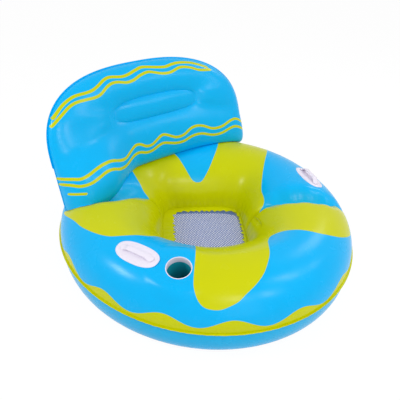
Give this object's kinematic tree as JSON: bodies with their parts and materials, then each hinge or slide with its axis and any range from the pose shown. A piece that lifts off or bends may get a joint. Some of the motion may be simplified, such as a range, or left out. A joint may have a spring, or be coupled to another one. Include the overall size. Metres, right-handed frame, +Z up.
{
  "type": "inflatable pool chair",
  "caption": "Inflatable pool chair: a welded vinyl seat ring with a mesh seat, a pillow backrest on its rear, side grab handles, a cup holder and plugged air valves.",
  "frame": {"origin": "on the surface that the chair stands on, under the middle of the seat ring", "axes": "+Z up; the sitter faces -Y and the backrest is at +Y; +X is to the sitter's left; left and right in names are as seen from the front"},
  "size_m": [1.07, 1.13, 0.5984],
  "materials": {
    "printed_vinyl_yellow": "glossy printed soft PVC sheet, yellow shapes on blue",
    "printed_vinyl_blue": "glossy printed soft PVC sheet, yellow shapes on blue",
    "plain_vinyl_blue": "glossy soft PVC sheet",
    "plain_vinyl_yellow": "glossy soft PVC sheet",
    "clear_vinyl": "clear soft PVC sheet",
    "white_vinyl": "moulded white soft PVC, satin",
    "teal_vinyl": "glossy soft PVC sheet",
    "valve_plastic": "moulded clear soft PVC",
    "polyester_mesh": "PVC-coated polyester mesh"
  },
  "bodies": {
    "seat": {"seat_top_front_sheet": "printed_vinyl_yellow", "seat_top_rear_sheet": "printed_vinyl_blue", "seat_bottom_sheet": "plain_vinyl_blue", "seat_left_partition": "clear_vinyl", "seat_right_partition": "clear_vinyl", "seat_mesh": "polyester_mesh", "mesh_border": "plain_vinyl_yellow", "backrest_weld_strip": "plain_vinyl_blue", "cup_holder_collar": "white_vinyl", "cup_holder_wall": "teal_vinyl", "cup_holder_floor": "teal_vinyl", "left_handle_patch": "white_vinyl", "left_handle_grip": "white_vinyl", "right_handle_patch": "white_vinyl", "right_handle_grip": "white_vinyl", "front_valve_base": "valve_plastic", "rear_valve_base": "valve_plastic"},
    "backrest": {"backrest_front_sheet": "printed_vinyl_blue", "backrest_rear_sheet": "plain_vinyl_blue", "backrest_slot_web": "clear_vinyl", "backrest_valve_base": "valve_plastic"},
    "front_stem": {"front_valve_stem": "valve_plastic"},
    "front_flap": {"front_valve_flap": "valve_plastic"},
    "front_plug": {"front_valve_plug": "valve_plastic"},
    "rear_stem": {"rear_valve_stem": "valve_plastic"},
    "rear_flap": {"rear_valve_flap": "valve_plastic"},
    "rear_plug": {"rear_valve_plug": "valve_plastic"},
    "backrest_stem": {"backrest_valve_stem": "valve_plastic"},
    "backrest_flap": {"backrest_valve_flap": "valve_plastic"},
    "backrest_plug": {"backrest_valve_plug": "valve_plastic"}
  },
  "joints": [
    {"name": "backrest_lean", "type": "hinge", "parent": "seat", "child": "backrest", "pos_m": [0, 0.365, 0.257], "axis": [-1, 0, 0], "range_deg": [-3, 12], "stiffness_Nm_per_rad": 40},
    {"name": "front_stem_slide", "type": "slide", "parent": "seat", "child": "front_stem", "axis": [0.6023, -0.7178, -0.3493], "range_m": [-0.01, 0]},
    {"name": "front_plug_slide", "type": "slide", "parent": "front_stem", "child": "front_plug", "axis": [0.6023, -0.7178, -0.3493], "range_m": [0, 0.01]},
    {"name": "front_flap_swing", "type": "hinge", "parent": "front_stem", "child": "front_flap", "pos_m": [0.34059, -0.40589, 0.05732], "axis": [0.766, 0.6428, 0], "range_deg": [0, 40], "stiffness_Nm_per_rad": 0.0005},
    {"name": "rear_stem_slide", "type": "slide", "parent": "seat", "child": "rear_stem", "axis": [-0.2386, 0.559, 0.7941], "range_m": [-0.01, 0]},
    {"name": "rear_plug_slide", "type": "slide", "parent": "rear_stem", "child": "rear_plug", "axis": [-0.2386, 0.559, 0.7941], "range_m": [0, 0.01]},
    {"name": "rear_flap_swing", "type": "hinge", "parent": "rear_stem", "child": "rear_flap", "pos_m": [-0.16881, 0.46538, 0.21417], "axis": [-0.9197, -0.3926, 0], "range_deg": [0, 40], "stiffness_Nm_per_rad": 0.0005},
    {"name": "backrest_stem_slide", "type": "slide", "parent": "backrest", "child": "backrest_stem", "axis": [0.1974, 0.9357, -0.2923], "range_m": [-0.01, 0]},
    {"name": "backrest_plug_slide", "type": "slide", "parent": "backrest_stem", "child": "backrest_plug", "axis": [0.1974, 0.9357, -0.2923], "range_m": [0, 0.01]},
    {"name": "backrest_flap_swing", "type": "hinge", "parent": "backrest_stem", "child": "backrest_flap", "pos_m": [0.20874, 0.42745, 0.31459], "axis": [-0.9785, 0.2064, 0], "range_deg": [0, 40], "stiffness_Nm_per_rad": 0.0005}
  ]
}
